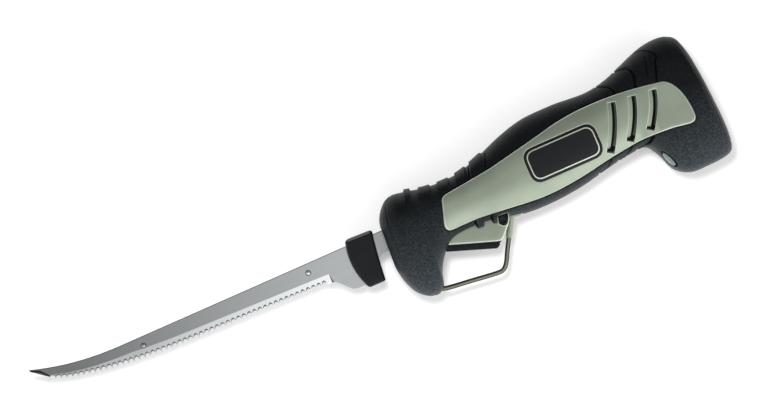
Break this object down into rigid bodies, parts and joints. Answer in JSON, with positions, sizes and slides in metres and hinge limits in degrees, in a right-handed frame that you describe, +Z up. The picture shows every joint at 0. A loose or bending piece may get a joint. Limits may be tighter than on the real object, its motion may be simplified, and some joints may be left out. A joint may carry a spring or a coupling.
{
  "type": "electric fillet knife",
  "caption": "Battery-powered fillet knife with twin serrated blades that saw past each other, a trigger with wire guard, rubber grip and green side panels.",
  "frame": {"origin": "under the middle of the knife lying on its right side, on the surface it rests on", "axes": "+X along the blades' slide from tip to pommel, +Y towards the spine, +Z up out of the left side"},
  "size_m": [0.4412, 0.0918, 0.048],
  "materials": {
    "grip_rubber": "pebbled matte",
    "dark_rubber": "smooth matte",
    "black_plastic": "satin moulded",
    "housing_plastic": "moulded",
    "sage_paint": "satin metallic paint",
    "blade_steel": "ground",
    "drive_steel": "plain",
    "gear_frame_alloy": "die cast",
    "guard_nickel": "satin nickel",
    "nylon": "moulded",
    "brass": "turned",
    "winding": "wound",
    "lens": "translucent",
    "board": "solder mask",
    "cell_wrap": "shrink wrap",
    "lead_red": "insulation",
    "lead_black": "insulation"
  },
  "bodies": {
    "handle": {"bar_guide": "nylon", "battery_holder": "housing_plastic", "black_motor_lead": "lead_black", "case_screw_1": "drive_steel", "case_screw_2": "drive_steel", "case_screw_3": "drive_steel", "case_screw_4": "drive_steel", "cell_strap": "guard_nickel", "control_board": "board", "gear_frame": "gear_frame_alloy", "guard_socket": "sage_paint", "guard_wire": "guard_nickel", "left_axle_bush": "brass", "left_badge": "black_plastic", "left_cell": "cell_wrap", "left_grip": "grip_rubber", "left_housing": "housing_plastic", "left_indicator_lens": "lens", "left_panel": "sage_paint", "motor_can": "drive_steel", "motor_end_bell": "housing_plastic", "nose_seal": "dark_rubber", "red_motor_lead": "lead_red", "right_axle_bush": "brass", "right_badge": "black_plastic", "right_cell": "cell_wrap", "right_grip": "grip_rubber", "right_housing": "housing_plastic", "right_indicator_lens": "lens", "right_panel": "sage_paint", "switch_body": "housing_plastic", "trigger_pin": "drive_steel", "trigger_spring": "drive_steel", "wheel_axle": "drive_steel", "worm_bush": "brass"},
    "left_blade_unit": {"left_blade": "blade_steel", "left_collar": "black_plastic", "left_drive_bar": "drive_steel", "front_rivet": "blade_steel", "rear_rivet": "blade_steel"},
    "right_blade_unit": {"right_blade": "blade_steel", "right_collar": "black_plastic", "right_drive_bar": "drive_steel"},
    "rotor": {"motor_shaft": "drive_steel", "worm": "brass", "armature": "winding"},
    "wheel": {"worm_wheel": "nylon"},
    "trigger_lever": {"trigger": "sage_paint", "trigger_pad": "dark_rubber"},
    "lock": {"lock_button": "black_plastic"},
    "plunger": {"switch_plunger": "nylon"}
  },
  "joints": [
    {"name": "left_blade_slide", "type": "slide", "parent": "handle", "child": "left_blade_unit", "axis": [1, 0, 0], "range_m": [-0.004, 0.004]},
    {"name": "right_blade_slide", "type": "slide", "parent": "handle", "child": "right_blade_unit", "axis": [1, 0, 0], "range_m": [-0.004, 0.004]},
    {"name": "motor_spin", "type": "hinge", "parent": "handle", "child": "rotor", "pos_m": [0.10035, 0.01367, 0.024], "axis": [1, 0, 0], "continuous": true},
    {"name": "wheel_spin", "type": "hinge", "parent": "handle", "child": "wheel", "pos_m": [0.09635, 0.00052, 0.024], "axis": [0, 0, 1], "continuous": true},
    {"name": "trigger_pull", "type": "hinge", "parent": "handle", "child": "trigger_lever", "pos_m": [0.04335, -0.00948, 0.024], "axis": [0, 0, 1], "range_deg": [0, 8], "stiffness_Nm_per_rad": 0.3, "springref_deg": -5.73, "deforming": ["trigger_spring"]},
    {"name": "lock_slide", "type": "slide", "parent": "trigger_lever", "child": "lock", "axis": [0, 0, -1], "range_m": [0, 0.0025]},
    {"name": "plunger_slide", "type": "slide", "parent": "handle", "child": "plunger", "axis": [0, 1, 0], "range_m": [0, 0.0032]}
  ],
  "couplings": [
    {"joint": "right_blade_slide", "follows": "left_blade_slide", "ratio": -1},
    {"joint": "wheel_spin", "follows": "motor_spin", "ratio": 0.05},
    {"joint": "plunger_slide", "follows": "trigger_pull", "m_per_rad": 0.022}
  ]
}
